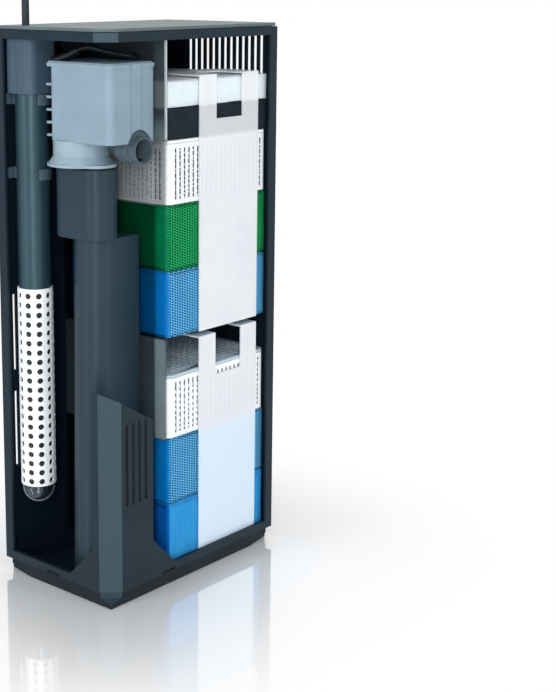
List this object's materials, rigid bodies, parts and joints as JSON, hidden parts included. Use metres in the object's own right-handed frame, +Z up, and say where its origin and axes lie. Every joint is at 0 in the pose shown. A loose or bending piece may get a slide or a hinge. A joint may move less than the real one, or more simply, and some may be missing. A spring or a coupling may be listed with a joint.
{
  "type": "internal aquarium filter",
  "caption": "Internal aquarium filter tower with its casing cut away: lift-out media baskets, a clipped heater with a temperature spindle, and a pump on a riser.",
  "frame": {"origin": "centre of the base, on the ground", "axes": "+Z up; -Y out of the wide front, which the media baskets face; -X out of the narrow left side, beside the heater and pump"},
  "size_m": [0.201, 0.2031, 0.437],
  "materials": {
    "casing_plastic": "satin moulded anthracite plastic",
    "base_plastic": "satin moulded dark plastic",
    "lid_plastic": "satin moulded grey plastic",
    "riser_plastic": "satin moulded slate grey plastic",
    "pump_plastic": "satin moulded blue-grey plastic",
    "chamber_plastic": "pale blue-grey plastic",
    "nozzle_plastic": "mid grey plastic",
    "rotor_plastic": "dark plastic",
    "white_ceramic": "unglazed pale ceramic",
    "stator_steel": "laminated steel",
    "copper_winding": "enamelled copper wire",
    "head_plastic": "satin moulded blue-grey plastic",
    "heater_glass": "smoked glass tube",
    "white_plastic": "white plastic",
    "clip_plastic": "light grey plastic",
    "clear_plastic": "clear moulded plastic",
    "smoky_plastic": "smoky translucent plastic",
    "milky_plastic": "milky translucent plastic",
    "blue_foam": "open-cell foam",
    "green_foam": "open-cell foam",
    "grey_case": "pale grey plastic",
    "grey_granules": "loose grey granules",
    "pale_granules": "loose pale granules",
    "carbon_felt": "black felt",
    "white_floss": "white fibre floss",
    "black_rubber": "black rubber",
    "brass_pins": "plain brass"
  },
  "bodies": {
    "tower": {"base_tray": "base_plastic", "casing": "casing_plastic", "partition": "smoky_plastic", "riser_duct": "riser_plastic", "pump_socket": "riser_plastic", "socket_seal": "black_rubber", "pump_flange": "chamber_plastic", "rotor_chamber": "chamber_plastic", "pump_housing": "pump_plastic", "pump_cap": "pump_plastic", "outlet_nozzle": "nozzle_plastic", "impeller_shaft": "white_ceramic", "lower_bush": "black_rubber", "upper_bush": "black_rubber", "stator_core": "stator_steel", "stator_coil": "copper_winding", "heater_head": "head_plastic", "heater_glass": "heater_glass", "heater_sleeve": "white_plastic", "heating_core": "white_ceramic", "thermostat": "rotor_plastic", "heater_seal": "black_rubber", "upper_clip": "clip_plastic", "lower_clip": "clip_plastic", "cable_gland": "black_rubber", "cable_grommet": "black_rubber", "pump_cable": "black_rubber", "cable_coil": "black_rubber", "cable_tie": "rotor_plastic", "mains_plug": "black_rubber", "plug_pins": "brass_pins"},
    "lid": {"lid": "lid_plastic"},
    "upper_stack": {"upper_basket": "clear_plastic", "upper_handle": "milky_plastic", "blue_sponge": "blue_foam", "green_sponge": "green_foam", "upper_cartridge": "white_plastic", "upper_cartridge_lid": "white_plastic", "upper_media": "pale_granules", "carbon_pad": "carbon_felt", "floss_pad": "white_floss"},
    "lower_stack": {"lower_basket": "clear_plastic", "lower_handle": "milky_plastic", "coarse_sponge": "blue_foam", "fine_sponge": "blue_foam", "lower_cartridge": "grey_case", "lower_cartridge_lid": "grey_case", "lower_media": "grey_granules"},
    "rotor": {"impeller": "rotor_plastic"},
    "spindle": {"temperature_spindle": "riser_plastic"}
  },
  "joints": [
    {"name": "lid_lift", "type": "slide", "parent": "tower", "child": "lid", "axis": [0, 0, 1], "range_m": [0, 0.52]},
    {"name": "upper_basket_lift", "type": "slide", "parent": "tower", "child": "upper_stack", "axis": [0, 0, 1], "range_m": [0, 0.47008]},
    {"name": "lower_basket_lift", "type": "slide", "parent": "tower", "child": "lower_stack", "axis": [0, 0, 1], "range_m": [0, 0.42016]},
    {"name": "impeller_spin", "type": "hinge", "parent": "tower", "child": "rotor", "pos_m": [-0.062, 0.0005, 0.35], "axis": [0, 0, 1], "continuous": true},
    {"name": "temperature_turn", "type": "hinge", "parent": "tower", "child": "spindle", "pos_m": [-0.077, 0.0405, 0.41], "axis": [0, 0, 1], "range_deg": [-135, 135]}
  ],
  "couplings": [
    {"joint": "upper_basket_lift", "follows": "lid_lift", "ratio": 0.904},
    {"joint": "lower_basket_lift", "follows": "lid_lift", "ratio": 0.808}
  ]
}
